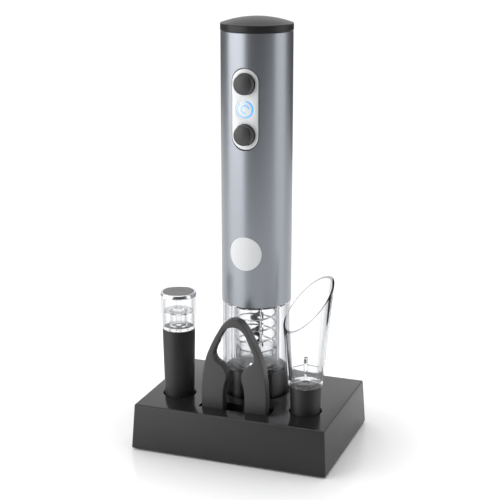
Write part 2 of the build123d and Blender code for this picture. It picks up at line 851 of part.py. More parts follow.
def pump_piston():
    """Rod and piston under the knob."""
    foot = piston_start + piston_height
    piston = rod(stopper_bore - 0.05 - barrel_wall - running_clearance, piston_start, foot, stopper_x, stopper_y)
    return piston + rod(rod_radius, foot, pump_bottom, stopper_x, stopper_y)


# ---------------------------------------------------------------- pourer
def pourer_rubber():
    """Tapered rubber plug of the pourer."""
    return turned([(pourer_bore, socket_bottom), (pourer_bottom_radius, socket_bottom),
                   (pourer_top_radius, pourer_rubber_top), (pourer_bore, pourer_rubber_top)], pourer_x, pourer_y)


def pourer_spout():
    """Clear flared spout, cut at a slant so that its back right side makes the lip."""
    top = spout_top
    outer = turned([(0, spout_bottom), (spout_neck_radius, spout_bottom), (spout_mouth_radius, top), (0, top)])
    floor = spout_bottom + spout_floor
    slope = (spout_mouth_radius - spout_neck_radius) / (top - spout_bottom)
    start = spout_neck_radius + slope * spout_floor - spout_wall
    inner = turned([(0, floor), (start, floor), (spout_mouth_radius - spout_wall + slope, top + 1), (0, top + 1)])
    under = turned([(0, spout_bottom), (spout_neck_radius - spout_wall, spout_bottom),
                    (start, floor - spout_floor_thickness), (0, floor - spout_floor_thickness)])
    body = outer - inner - under
    reach = 2 * spout_mouth_radius
    low_x = -(spout_neck_radius + slope * (spout_low_rim - spout_bottom))
    tilt = math.degrees(math.atan2(top - spout_low_rim, spout_mouth_radius - 0.8 - low_x))
    cutter = Pos(low_x, 0, spout_low_rim) * Rot(0, -tilt, 0) * Box(
        4 * reach, 2 * reach, 2 * reach, align=(Align.CENTER, Align.CENTER, Align.MIN))
    body -= cutter
    body -= rod(pourer_hole, spout_bottom, floor)
    return Pos(pourer_x, pourer_y, 0) * Rot(0, 0, spout_turn) * body


def pourer_stem():
    """Tube from the spout's floor down through the rubber."""
    floor = spout_bottom + spout_floor - spout_floor_thickness
    body = ring(pourer_hole, pourer_bore - 0.02, socket_bottom, spout_bottom + 0.5)
    body += ring(pourer_hole, pourer_hole + 1.2, spout_bottom + 0.5, floor)
    return Pos(pourer_x, pourer_y, 0) * body


def pourer_baffle():
    """Three webs and a centre pin under the mouth that spread the wine."""
    floor = spout_bottom + spout_floor + baffle_seat
    slope = (spout_mouth_radius - spout_neck_radius) / (spout_top - spout_bottom)
    reach = spout_neck_radius + slope * spout_floor - spout_wall - baffle_seat
    body = rod(baffle_pin, floor, floor + baffle_height)
    for k in range(3):
        web = Pos(0, -baffle_web / 2, floor) * Box(
            reach, baffle_web, baffle_web_height, align=(Align.MIN, Align.MIN, Align.MIN))
        body += Rot(0, 0, baffle_turn + 120 * k) * web
    return Pos(pourer_x, pourer_y, 0) * body


def build():
    """Write every sub-part."""
    os.makedirs("parts", exist_ok=True)
    save("stand_housing", stand_housing())
    save("stand_cover", stand_cover())
    save("stand_screws", stand_screws())
    save("stand_feet", stand_feet())
    save("body_tube", body_tube())
    save("clear_sleeve", clear_sleeve())
    save("cap", cap())
    save("neck_guide", neck_guide())
    save("neck_spring", neck_spring())
    save("worm", worm())
    save("worm_collar", worm_collar())
    save("output_carrier", output_carrier())
    save("middle_carrier", middle_carrier())
    save("gearbox_housing", gearbox_housing())
    save("output_bush", output_bush())
    for index in range(planet_count):
        save(f"output_planet_{index + 1}", planet(0, index))
        save(f"motor_planet_{index + 1}", planet(1, index))
    save("motor_mount", motor_mount())
    save("motor_can", motor_can())
    save("motor_bell", motor_bell())
    save("motor_rotor", motor_rotor())
    save("chassis_front", chassis_half(-1))
    save("chassis_rear", chassis_half(1))
    save("chassis_screws", chassis_screws())
    save("battery_holder", battery_holder())
    save("battery_cells", battery_cells())
    save("contact_springs", contact_springs())
    save("contact_plates", contact_plates())
    save("contact_carrier", contact_carrier())
    save("circuit_board", circuit_board())
    save("tact_switches", tact_switches())
    save("status_light", status_light())
    save("button_panel", button_panel())
    save("status_lens", status_lens())
    save("button_up", button(button_heights[0]))
    save("button_down", button(button_heights[1]))
    save("cutter_bow", cutter_bow())
    for name, side in (("left", -1), ("right", 1)):
        save(f"cutter_arm_{name}", cutter_arm(side))
        save(f"cutter_pins_{name}", cutter_pins(side))
        for index in range(len(wheel_places)):
            save(f"cutter_wheel_{name}_{index + 1}", cutter_wheel(side, index))
    save("stopper_rubber", stopper_rubber())
    save("stopper_barrel", stopper_barrel())
    save("stopper_valve", stopper_valve())
    save("stopper_head", stopper_head())
    save("pump_ring", pump_ring())
    save("pump_knob", pump_knob())
    save("pump_piston", pump_piston())
    save("pourer_rubber", pourer_rubber())
    save("pourer_spout", pourer_spout())
    save("pourer_stem", pourer_stem())
    save("pourer_baffle", pourer_baffle())


build()
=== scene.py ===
import math

import bpy
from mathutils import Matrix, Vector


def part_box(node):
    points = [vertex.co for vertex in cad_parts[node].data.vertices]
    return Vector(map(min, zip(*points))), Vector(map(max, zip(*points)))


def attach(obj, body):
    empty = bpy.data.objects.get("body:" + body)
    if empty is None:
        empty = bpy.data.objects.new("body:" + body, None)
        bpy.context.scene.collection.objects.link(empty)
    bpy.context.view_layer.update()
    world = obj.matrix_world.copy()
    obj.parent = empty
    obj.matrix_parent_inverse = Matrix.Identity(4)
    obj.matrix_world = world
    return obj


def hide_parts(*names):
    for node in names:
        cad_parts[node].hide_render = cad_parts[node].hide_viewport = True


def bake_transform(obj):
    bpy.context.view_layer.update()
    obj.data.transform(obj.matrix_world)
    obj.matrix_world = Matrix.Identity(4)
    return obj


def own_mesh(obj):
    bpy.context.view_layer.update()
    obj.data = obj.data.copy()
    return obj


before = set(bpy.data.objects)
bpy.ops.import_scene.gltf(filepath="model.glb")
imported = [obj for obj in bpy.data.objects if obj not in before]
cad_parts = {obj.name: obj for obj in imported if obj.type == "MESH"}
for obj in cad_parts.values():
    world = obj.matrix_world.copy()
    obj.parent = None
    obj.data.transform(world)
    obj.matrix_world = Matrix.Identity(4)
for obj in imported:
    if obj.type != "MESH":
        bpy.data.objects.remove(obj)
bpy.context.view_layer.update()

# An electric wine opener that stands, with its stopper, foil cutter and pourer, on a moulded black block.
# Metres throughout. Many places are taken from the CAD nodes' boxes, and the others are given as numbers.
mm = 0.001


# ---------------------------------------------------------------- stand housing
# A black ABS moulding with drafted sides, a polished top and spark-textured sides. It has a round recess
# with a boss for the opener, two sockets and a slot. The real one is a shell closed by a cover below.
def only(piece):
    """Select one piece and make it the active one."""
    bpy.ops.object.select_all(action="DESELECT")
    piece.select_set(True)
    bpy.context.view_layer.objects.active = piece


def modify(piece, kind, **settings):
    """Add a modifier with its settings and apply it."""
    only(piece)
    modifier = piece.modifiers.new(kind.lower(), kind)
    for key, value in settings.items():
        setattr(modifier, key, value)
    bpy.ops.object.modifier_apply(modifier=modifier.name)


def soften(piece, width, segments=3, angle=32):
    """Round every edge sharper than an angle."""
    modify(piece, "BEVEL", width=width, segments=segments, limit_method="ANGLE",
           angle_limit=math.radians(angle))


def smooth(piece, angle=40):
    """Shade smoothly over edges blunter than an angle."""
    only(piece)
    bpy.ops.object.shade_smooth_by_angle(angle=math.radians(angle))


def combine(piece, tool, operation="DIFFERENCE"):
    """Cut a tool out of a piece, or join it on, and remove the tool."""
    modify(piece, "BOOLEAN", object=tool, operation=operation, solver="EXACT")
    bpy.data.objects.remove(tool)


def block(name, low, high):
    """Cube primitive between two corners, with its place in its mesh."""
    bpy.ops.object.select_all(action="DESELECT")
    middle = [(a + b) / 2 for a, b in zip(low, high)]
    bpy.ops.mesh.primitive_cube_add(size=1, location=middle)
    piece = bpy.context.object
    piece.name = name
    piece.scale = [b - a for a, b in zip(low, high)]
    bpy.ops.object.transform_apply(location=True, rotation=True, scale=True)
    return piece


def turned(name, profile, centre, axis="Z", steps=96):
    """Piece spun about an upright or front-to-back axis from (radius, place along the axis) points.
    A profile that starts and ends on the axis is left open there and closes itself when it is spun."""
    bpy.ops.object.select_all(action="DESELECT")
    bpy.ops.mesh.primitive_circle_add(vertices=len(profile), fill_type="NOTHING", radius=1)
    piece = bpy.context.object
    piece.name = name
    for vertex, (radius, along) in zip(piece.data.vertices, profile):
        out = centre[0] + radius
        vertex.co = (out, centre[1], along) if axis == "Z" else (out, along, centre[2])
    on_axis = profile[0][0] == 0 and profile[-1][0] == 0
    bpy.ops.object.mode_set(mode="EDIT")
    if on_axis:
        bpy.ops.mesh.select_all(action="DESELECT")
        bpy.ops.object.mode_set(mode="OBJECT")
        last = len(profile) - 1
        for edge in piece.data.edges:
            edge.select = set(edge.vertices) == {0, last}
        bpy.ops.object.mode_set(mode="EDIT")
        bpy.ops.mesh.select_mode(type="EDGE")
        bpy.ops.mesh.delete(type="EDGE_FACE")
        bpy.ops.mesh.select_mode(type="VERT")
    bpy.ops.mesh.select_all(action="SELECT")
    direction = (0, 0, 1) if axis == "Z" else (0, 1, 0)
    bpy.ops.mesh.spin(steps=steps, angle=2 * math.pi, center=centre, axis=direction)
    bpy.ops.mesh.select_all(action="SELECT")
    bpy.ops.mesh.remove_doubles(threshold=1e-6)
    bpy.ops.mesh.select_all(action="SELECT")
    bpy.ops.mesh.normals_make_consistent(inside=False)
    bpy.ops.object.mode_set(mode="OBJECT")
    return piece


def drill(radius, floor, top, x, y, flare=0.5 * mm):
    """Round cutter with a flared mouth, so that the hole it cuts has a broken edge."""
    above = top + 4 * mm
    points = [(0, floor), (radius, floor), (radius, top - flare), (radius + flare, top),
              (radius + flare, above), (0, above)]
    return turned("cutter", points, (x, y, 0), steps=72)


stand_low, stand_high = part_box("stand_housing")
stand_top = 34 * mm
stand_draft = 2 * mm
opener_low, opener_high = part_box("body_tube")
opener_y = (opener_low[1] + opener_high[1]) / 2
sleeve_low, sleeve_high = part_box("clear_sleeve")
recess_floor = sleeve_low[2] - 0.3 * mm
boss_radius = sleeve_high[0] - 2.3 * mm
boss_top = stand_high[2]
stopper_low, stopper_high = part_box("stopper_rubber")
stopper_x = (stopper_low[0] + stopper_high[0]) / 2
stopper_y = (stopper_low[1] + stopper_high[1]) / 2
pourer_low, pourer_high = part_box("pourer_rubber")
pourer_x = (pourer_low[0] + pourer_high[0]) / 2
pourer_y = (pourer_low[1] + pourer_high[1]) / 2
arm_low, arm_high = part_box("cutter_arm_right")

stand = block("stand_block", stand_low, (stand_high[0], stand_high[1], stand_top))
length = stand_high[0] - stand_low[0]
depth = stand_high[1] - stand_low[1]
bpy.ops.object.mode_set(mode="EDIT")
bpy.ops.mesh.select_mode(type="FACE")
bpy.ops.mesh.select_all(action="DESELECT")
bpy.ops.object.mode_set(mode="OBJECT")
for face in stand.data.polygons:
    face.select = face.normal.z > 0.9
bpy.ops.object.mode_set(mode="EDIT")
bpy.ops.transform.resize(value=((length - 2 * stand_draft) / length, (depth - 2 * stand_draft) / depth, 1),
                         center_override=(0, 0, stand_top))
bpy.ops.object.mode_set(mode="OBJECT")
soften(stand, 1.1 * mm, segments=5)
cover_low, cover_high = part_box("stand_cover")
combine(stand, block("rebate", [v - 0.3 * mm for v in cover_low], [v + 0.3 * mm for v in cover_high]))
combine(stand, drill(sleeve_high[0] + 0.9 * mm, recess_floor, stand_top, 0, opener_y))
socket_floor = stopper_low[2] - 0.3 * mm
combine(stand, drill(11.75 * mm, socket_floor, stand_top, stopper_x, stopper_y))
combine(stand, drill(11.4 * mm, socket_floor, stand_top, pourer_x, pourer_y))
slot_half = 26.5 * mm
slot_front = arm_low[1] - 0.9 * mm
slot_back = -24.8 * mm
slot = block("slot", (-slot_half, slot_front, socket_floor), (slot_half, slot_back, stand_top + 5 * mm))
combine(stand, slot)
boss_foot = recess_floor - 1 * mm
boss_points = [(0, boss_foot), (boss_radius, boss_foot), (boss_radius, boss_top - 1.2 * mm),
               (boss_radius - 0.35 * mm, boss_top - 0.35 * mm), (boss_radius - 1.2 * mm, boss_top),
               (0, boss_top)]
combine(stand, turned("boss", boss_points, (0, opener_y, 0)), "UNION")
smooth(stand, 30)


class Wire:
    """An output in a material's node tree. Sums on it add Math nodes."""

    def __init__(self, finish, socket):
        self.finish = finish
        self.socket = socket

    def math(self, operation, *values):
        return self.finish.node("ShaderNodeMath", {"operation": operation}, dict(enumerate(values)))

    def __add__(self, other):
        return self.math("ADD", self, other)

    def __radd__(self, other):
        return self.math("ADD", other, self)

    def __sub__(self, other):
        return self.math("SUBTRACT", self, other)

    def __rsub__(self, other):
        return self.math("SUBTRACT", other, self)

    def __mul__(self, other):
        return self.math("MULTIPLY", self, other)

    def __rmul__(self, other):
        return self.math("MULTIPLY", other, self)

    def __truediv__(self, other):
        return self.math("DIVIDE", self, other)

    def __abs__(self):
        return self.math("ABSOLUTE", self)

    def above(self, limit):
        return self.math("GREATER_THAN", self, limit)

    def between(self, low, high):
        """0 under low, 1 over high and a smooth rise from one to the other."""
        return self.finish.node("ShaderNodeMapRange", {"interpolation_type": "SMOOTHSTEP"},
                                {"Value": self, "From Min": low, "From Max": high})


class Nodes:
    """A node tree, filled one node at a time."""

    def __init__(self, tree):
        self.tree = tree

    def node(self, kind, settings=None, inputs=None, output=0):
        """Add a node, set its settings, then set or link its sockets."""
        added = self.tree.nodes.new(kind)
        for key, value in (settings or {}).items():
            if key == "stops":
                for place, colour in value:
                    stop = added.color_ramp.elements.new(place)
                    stop.color = (*colour, 1)
                added.color_ramp.elements.remove(added.color_ramp.elements[0])
                added.color_ramp.elements.remove(added.color_ramp.elements[-1])
            else:
                setattr(added, key, value)
        for key, value in (inputs or {}).items():
            if isinstance(value, Wire):
                self.tree.links.new(value.socket, added.inputs[key])
            else:
                added.inputs[key].default_value = value
        return Wire(self, added.outputs[output])


class Finish(Nodes):
    """One procedural material: a Principled shader and the nodes that feed it."""

    def __init__(self, name, **fixed):
        self.material = bpy.data.materials.new(name)
        self.material.use_nodes = True
        super().__init__(self.material.node_tree)
        self.shader = self.tree.nodes["Principled BSDF"]
        for key, value in fixed.items():
            self.shader.inputs[key.replace("_", " ").title().replace("Ior", "IOR")].default_value = value

    def feed(self, socket, wire):
        self.tree.links.new(wire.socket, self.shader.inputs[socket])

    def place(self):
        """X, Y and Z of the point, in metres."""
        where = self.node("ShaderNodeTexCoord", output="Object")
        return [self.node("ShaderNodeSeparateXYZ", inputs={0: where}, output=k) for k in range(3)]

    def facing(self):
        """X, Y and Z of the surface's own direction."""
        normal = self.node("ShaderNodeTexCoord", output="Normal")
        return [self.node("ShaderNodeSeparateXYZ", inputs={0: normal}, output=k) for k in range(3)]

    def grain(self, size, detail=2.0, stretch=(1, 1, 1), roughness=0.5):
        """Noise of a grain size in metres, from 0 to 1, stretched along an axis by a number under 1."""
        where = self.node("ShaderNodeTexCoord", output="Object")
        turned_where = self.node("ShaderNodeMapping", inputs={"Vector": where, "Scale": stretch})
        settings = {"Vector": turned_where, "Scale": 1 / size, "Detail": detail, "Roughness": roughness}
        return self.node("ShaderNodeTexNoise", inputs=settings)

    def tint(self, mask, dark, light):
        """Colour from one to another as the mask goes from 0 to 1."""
        return self.node("ShaderNodeMix", {"data_type": "RGBA"},
                         {"Factor": mask, "A": (*dark, 1), "B": (*light, 1)}, output=2)

    def relief(self, height, depth, strength=1.0, under=None):
        """Bump of a depth in metres, which feeds the normal."""
        inputs = {"Height": height, "Distance": depth, "Strength": strength}
        if under is not None:
            inputs["Normal"] = under
        bump = self.node("ShaderNodeBump", inputs=inputs)
        self.feed("Normal", bump)
        return bump

    def on(self, *pieces):
        """Put this finish alone on pieces or CAD nodes."""
        for piece in pieces:
            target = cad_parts[piece] if isinstance(piece, str) else piece
            target.data.materials.clear()
            target.data.materials.append(self.material)


def moulded(name, colour, rough, texture, **fixed):
    """Moulded plastic or rubber: even colour with slight clouding, spark texture and faint handling marks."""
    finish = Finish(name, **fixed)
    clouds = finish.grain(28 * mm, detail=3)
    marks = finish.grain(3.5 * mm, detail=5, roughness=0.7)
    finish.feed("Base Color", finish.tint(clouds, [c * 0.86 for c in colour], [c * 1.14 for c in colour]))
    finish.feed("Roughness", rough + (marks - 0.5) * 0.16)
    finish.relief(finish.grain(0.22 * mm, detail=2), texture)
    return finish


stand_black = Finish("stand_black", specular_ior_level=0.42)
clouds = stand_black.grain(40 * mm, detail=3)
marks = stand_black.grain(5 * mm, detail=5, roughness=0.7)
upward = stand_black.facing()[2].between(0.6, 0.9)
stand_black.feed("Base Color", stand_black.tint(clouds, (0.011, 0.011, 0.012), (0.016, 0.016, 0.017)))
stand_black.feed("Roughness", 0.36 - upward * 0.2 + (marks - 0.5) * 0.08)
stand_black.relief(stand_black.grain(0.25 * mm) * (1 - upward * 0.9), 0.02 * mm)
stand_black.on(stand)
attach(stand, "stand")
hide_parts("stand_housing")


# ---------------------------------------------------------------- stand cover, screws and feet
# The cover is the same ABS, left with its mould texture. The screws are zinc plated steel and the feet are
# thin black rubber pads glued into the corners.
cover_black = moulded("cover_black", (0.035, 0.035, 0.036), 0.55, 0.03 * mm)
cover_black.on("stand_cover")
foot_rubber = moulded("foot_rubber", (0.022, 0.022, 0.023), 0.78, 0.05 * mm)
foot_rubber.on("stand_feet")


def metal(name, colour, rough, streak, stretch, **fixed):
    """Metal with drawn or turned streaks along an axis and a little tarnish."""
    finish = Finish(name, metallic=1.0, **fixed)
    streaks = finish.grain(streak, detail=4, stretch=stretch, roughness=0.65)
    tarnish = finish.grain(9 * mm, detail=4)
    dull, bright = [c * 0.88 for c in colour], [min(1, c * 1.06) for c in colour]
    finish.feed("Base Color", finish.tint(tarnish, dull, bright))
    finish.feed("Roughness", rough + (streaks - 0.5) * 0.18)
    finish.relief(streaks, 0.01 * mm, 0.6)
    return finish


zinc = metal("zinc_plate", (0.62, 0.62, 0.64), 0.32, 0.6 * mm, (1, 1, 0.2))
zinc.on("stand_screws", "chassis_screws")


# ---------------------------------------------------------------- body tube
# A drawn aluminium tube, 50 mm across, with a pearl grey lacquer. A stadium window is punched for the
# buttons, both ends are chamfered, and a plain pale disc is pad printed low on its front.
tube_radius = (opener_high[0] - opener_low[0]) / 2
tube_wall = 1 * mm
tube_bottom, tube_top = opener_low[2], opener_high[2]
tube_bore = tube_radius - tube_wall
lip = 0.2 * mm
tube_points = [(tube_radius - lip, tube_bottom), (tube_radius, tube_bottom + lip),
               (tube_radius, tube_top - lip), (tube_radius - lip, tube_top), (tube_bore, tube_top),
               (tube_bore, tube_bottom)]
tube = turned("tube_shell", tube_points, (0, opener_y, 0), steps=192)
panel_low, panel_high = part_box("button_panel")
panel_z = (panel_low[2] + panel_high[2]) / 2
panel_width = panel_high[0] - panel_low[0]
panel_height = panel_high[2] - panel_low[2]


def upright_slab(name, outlines, back, front, rounding, resolution=3):
    """Flat piece facing the front: filled closed outlines of (x, z) points, each with its own smoothness.
    Inner outlines become holes. Rounding softens the edges of both faces."""
    bpy.ops.object.select_all(action="DESELECT")
    curve = bpy.data.curves.new(name, "CURVE")
    curve.dimensions = "2D"
    curve.fill_mode = "BOTH"
    curve.extrude = abs(back - front) / 2 - rounding
    curve.bevel_depth = rounding
    curve.bevel_resolution = resolution
    curve.offset = -rounding
    for points, handles in outlines:
        spline = curve.splines.new("BEZIER")
        spline.bezier_points.add(len(points) - 1)
        spline.use_cyclic_u = True
        spline.resolution_u = 10
        for point, place, handle in zip(spline.bezier_points, points, handles):
            point.co = (place[0], place[1], 0)
            point.handle_left_type = handle
            point.handle_right_type = handle
    piece = bpy.data.objects.new(name, curve)
    bpy.context.collection.objects.link(piece)
    only(piece)
    bpy.ops.object.convert(target="MESH")
    piece = bpy.context.object
    piece.rotation_euler = (math.pi / 2, 0, 0)
    piece.location = (0, (back + front) / 2, 0)
    bpy.ops.object.transform_apply(location=True, rotation=True, scale=True)
    bpy.ops.object.mode_set(mode="EDIT")
    bpy.ops.mesh.select_all(action="SELECT")
    bpy.ops.mesh.remove_doubles(threshold=1e-6)
    bpy.ops.mesh.normals_make_consistent(inside=False)
    bpy.ops.object.mode_set(mode="OBJECT")
    return piece


def arc(cx, cz, radius, start, end, count):
    """Points on an arc, both ends included."""
    angles = [math.radians(start + (end - start) * k / (count - 1)) for k in range(count)]
    return [(cx + radius * math.cos(a), cz + radius * math.sin(a)) for a in angles]


def stadium(width, height, middle):
    """Closed outline of an upright stadium."""
    radius = width / 2
    rise = height / 2 - radius
    points = arc(0, middle + rise, radius, 0, 180, 25) + arc(0, middle - rise, radius, 180, 360, 25)
    return points, ["VECTOR"] * len(points)


def circle(radius, x, z):
    points = arc(x, z, radius, 0, 360 - 360 / 12, 12)
    return points, ["AUTO"] * len(points)


window_gap = 0.5 * mm
window_outline = stadium(panel_width + 2 * window_gap, panel_height + 2 * window_gap, panel_z)
window = upright_slab("window", [window_outline], opener_y - tube_radius / 2,
                      opener_y - tube_radius - 4 * mm, 0.01 * mm, 0)
combine(tube, window)
smooth(tube, 25)

lacquer = Finish("pearl_grey_lacquer", coat_roughness=0.22, coat_ior=1.5)
x, y, z = lacquer.place()
badge_z = 142 * mm
badge_radius = 12 * mm
around = lacquer.node("ShaderNodeMath", {"operation": "ARCTAN2"}, {0: x, 1: opener_y - y}) * tube_radius
from_badge = lacquer.node("ShaderNodeCombineXYZ", inputs={0: around, 1: z - badge_z})
across = lacquer.node("ShaderNodeVectorMath", {"operation": "LENGTH"}, {0: from_badge}, output="Value")
badge = 1 - across.between(badge_radius - 0.06 * mm, badge_radius + 0.06 * mm)
flakes = lacquer.grain(0.16 * mm, detail=1)
clouds = lacquer.grain(45 * mm, detail=2, stretch=(1, 1, 0.3))
pearl = lacquer.tint(clouds, (0.265, 0.280, 0.305), (0.285, 0.300, 0.325))
speckle = lacquer.tint(flakes, (0.86, 0.86, 0.87), (1.13, 1.13, 1.13))
speckled = lacquer.node("ShaderNodeMix", {"data_type": "RGBA", "blend_type": "MULTIPLY"},
                        {"Factor": 1.0, "A": pearl, "B": speckle}, output=2)
badge_white = (0.69, 0.70, 0.71, 1)
lacquer.feed("Base Color", lacquer.node("ShaderNodeMix", {"data_type": "RGBA"},
                                        {"Factor": badge, "A": speckled, "B": badge_white}, output=2))
lacquer.feed("Metallic", 0.92 - badge * 0.9)
lacquer.feed("Roughness", 0.33 + badge * 0.12 + (flakes - 0.5) * 0.1)
lacquer.relief(flakes + badge * 0.6, 0.012 * mm, 0.5)
lacquer.on(tube)
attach(tube, "opener")
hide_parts("body_tube")


# ---------------------------------------------------------------- clear sleeve
# One polycarbonate moulding: outer wall, spigot glued into the tube, inner tube that takes the bottle's neck,
# six ribs between them and a web at the top with a hole for the worm's collar.
sleeve_radius = sleeve_high[0]
sleeve_bottom = sleeve_low[2]
sleeve_wall = 1.8 * mm
neck_bore = 15.3 * mm
neck_outer = neck_bore + 1.4 * mm
neck_foot = boss_top + 0.8 * mm
web = 1.8 * mm
spigot_radius = tube_bore - 0.25 * mm
spigot_top = sleeve_high[2]
joint_z = tube_bottom
wall_points = [(sleeve_radius - sleeve_wall, sleeve_bottom), (sleeve_radius - 0.5 * mm, sleeve_bottom),
               (sleeve_radius, sleeve_bottom + 0.5 * mm), (sleeve_radius, joint_z - 0.25 * mm),
               (sleeve_radius - 0.25 * mm, joint_z - 0.02 * mm), (spigot_radius, joint_z - 0.02 * mm),
               (spigot_radius, spigot_top), (spigot_radius - 1.4 * mm, spigot_top),
               (spigot_radius - 1.4 * mm, joint_z),
               (9 * mm, joint_z), (9 * mm, joint_z - web), (neck_bore, joint_z - web),
               (neck_bore, neck_foot), (neck_outer, neck_foot),
               (neck_outer, joint_z - web), (sleeve_radius - sleeve_wall, joint_z - web)]
sleeve = turned("sleeve_moulding", wall_points, (0, opener_y, 0), steps=128)
rib_half = 0.7 * mm
for k in range(6):
    rib = block("rib", (neck_outer - 0.3 * mm, -rib_half, neck_foot),
                (sleeve_radius - sleeve_wall + 0.3 * mm, rib_half, joint_z - web + 0.3 * mm))
    rib.rotation_euler = (0, 0, math.radians(60 * k))
    rib.location = (0, opener_y, 0)
    only(rib)
    bpy.ops.object.transform_apply(location=True, rotation=True, scale=True)
    combine(sleeve, rib, "UNION")
smooth(sleeve, 30)


def clear(name, rough=0.03, haze=0.02 * mm, face=(0.95, 0.952, 0.955), edge=(0.34, 0.35, 0.37), ior=1.05,
          gloss=0.7):
    """Clear moulding with faint flow waves and fine wear in its polish. Its colour goes from face to edge, a
    painted shade grey, as its walls turn edge-on."""
    finish = Finish(name, transmission_weight=1.0, ior=ior, coat_weight=gloss, coat_roughness=0.04)
    waves = finish.grain(14 * mm, detail=2, stretch=(1, 1, 0.4))
    wear = finish.grain(0.9 * mm, detail=5, stretch=(1, 1, 0.6), roughness=0.7)
    edge_shade_facing = finish.node("ShaderNodeLayerWeight", inputs={"Blend": 0.5}, output="Facing")
    # Painted shade: the colour darkens to the edge grey where the walls turn edge-on.
    finish.colour = finish.tint(edge_shade_facing.between(0.2, 0.9), face, edge)
    finish.feed("Base Color", finish.colour)
    finish.feed("Roughness", rough + wear * 0.03)
    finish.relief(waves, haze, 0.35)
    return finish


polycarbonate = clear("clear_polycarbonate", gloss=0.35)
polycarbonate.on(sleeve)
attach(sleeve, "opener")
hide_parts("clear_sleeve")


# ---------------------------------------------------------------- neck guide and its spring
# A clear nylon ring that drops over the bottle's mouth and steers it to the worm, moulded with a chamfered
# entry and two grooves. A stainless coil spring above it keeps it down until the bottle pushes it up.
guide_low, guide_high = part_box("neck_guide")
guide_radius = guide_high[0]
guide_bore = guide_radius - 2.6 * mm
guide_bottom, guide_top = guide_low[2], guide_high[2]
guide_points = [(guide_bore + 1.2 * mm, guide_bottom), (guide_radius - 0.3 * mm, guide_bottom),
                (guide_radius, guide_bottom + 0.3 * mm)]
for groove in (guide_bottom + 3 * mm, guide_bottom + 7 * mm):
    guide_points += [(guide_radius, groove), (guide_radius - 0.5 * mm, groove + 0.3 * mm),
                     (guide_radius - 0.5 * mm, groove + 1.1 * mm), (guide_radius, groove + 1.4 * mm)]
guide_points += [(guide_radius, guide_top - 0.3 * mm), (guide_radius - 0.3 * mm, guide_top),
                 (guide_bore + 0.3 * mm, guide_top), (guide_bore, guide_top - 0.3 * mm),
                 (guide_bore, guide_bottom + 2 * mm)]
guide = turned("guide_ring", guide_points, (0, opener_y, 0))
smooth(guide, 30)
nylon = clear("clear_nylon", rough=0.12, face=(0.86, 0.87, 0.88))
nylon.on(guide)
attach(guide, "neck_guide")
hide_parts("neck_guide")


def helix(name, points, thickness, resolution=6):
    """Round wire through (x, y, z, share of its thickness) points."""
    bpy.ops.object.select_all(action="DESELECT")
    curve = bpy.data.curves.new(name, "CURVE")
    curve.dimensions = "3D"
    curve.bevel_depth = thickness / 2
    curve.bevel_resolution = resolution
    curve.use_fill_caps = True
    spline = curve.splines.new("NURBS")
    spline.points.add(len(points) - 1)
    for point, place in zip(spline.points, points):
        point.co = (*place[:3], 1)
        point.radius = place[3]
    spline.order_u = 4
    spline.use_endpoint_u = True
    spline.resolution_u = 4
    piece = bpy.data.objects.new(name, curve)
    bpy.context.collection.objects.link(piece)
    only(piece)
    bpy.ops.object.convert(target="MESH")
    piece = bpy.context.object
    bpy.ops.object.mode_set(mode="EDIT")
    bpy.ops.mesh.select_all(action="SELECT")
    bpy.ops.mesh.normals_make_consistent(inside=False)
    bpy.ops.object.mode_set(mode="OBJECT")
    smooth(piece, 50)
    return piece


spring_low, spring_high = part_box("neck_spring")
spring_wire = 1.15 * mm
spring_radius = 14 * mm
spring_turns = 4
spring_steps = 24
spring_points = []
for step in range(spring_turns * spring_steps + 1):
    share = step / (spring_turns * spring_steps)
    angle = 2 * math.pi * step / spring_steps
    x, y = spring_radius * math.cos(angle), opener_y + spring_radius * math.sin(angle)
    rise = spring_low[2] + spring_wire / 2 + share * (spring_high[2] - spring_low[2] - spring_wire)
    spring_points.append((x, y, rise, 1))
spring = helix("guide_spring", spring_points, spring_wire)
spring_steel = metal("spring_steel", (0.60, 0.61, 0.63), 0.22, 0.4 * mm, (1, 1, 1))
spring_steel.on(spring)
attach(spring, "opener")
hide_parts("neck_spring")
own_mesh(spring)


# ---------------------------------------------------------------- worm and collar
# The corkscrew is hardened wire with a non-stick black coat, ground to a point at its foot. The nylon collar
# above it is pinned to the gearbox's output.
worm_low, worm_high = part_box("worm")
worm_wire = 3.3 * mm
worm_radius = worm_high[0] - worm_wire / 2 - 0.05 * mm
worm_pitch = 10.5 * mm
worm_steps = 20
worm_top = worm_high[2] - worm_wire / 2
turns = (worm_top - worm_low[2] - 1 * mm) / worm_pitch
worm_points = []
count = int(turns * worm_steps)
for step in range(count + 1):
    share = step / count
    angle = math.radians(-90) + 2 * math.pi * turns * (share - 1)
    taper = min(1, 0.08 + share * turns / 0.9)
    reach = worm_radius * min(1, 0.55 + share * turns / 1.1)
    rise = worm_low[2] + 0.9 * mm + share * (worm_top - worm_low[2] - 0.9 * mm)
    worm_points.append((reach * math.cos(angle), opener_y + reach * math.sin(angle), rise, taper))
worm = helix("worm_helix", worm_points, worm_wire)
non_stick = Finish("black_non_stick", coat_weight=0.4, coat_roughness=0.2)
specks = non_stick.grain(0.5 * mm, detail=4)
wear = non_stick.grain(5 * mm, detail=5, roughness=0.7)
non_stick.feed("Base Color", non_stick.tint(specks, (0.012, 0.012, 0.013), (0.035, 0.035, 0.037)))
non_stick.feed("Roughness", 0.3 + wear * 0.15)
non_stick.relief(specks, 0.015 * mm)
non_stick.on(worm)
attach(worm, "worm_drive")
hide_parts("worm")


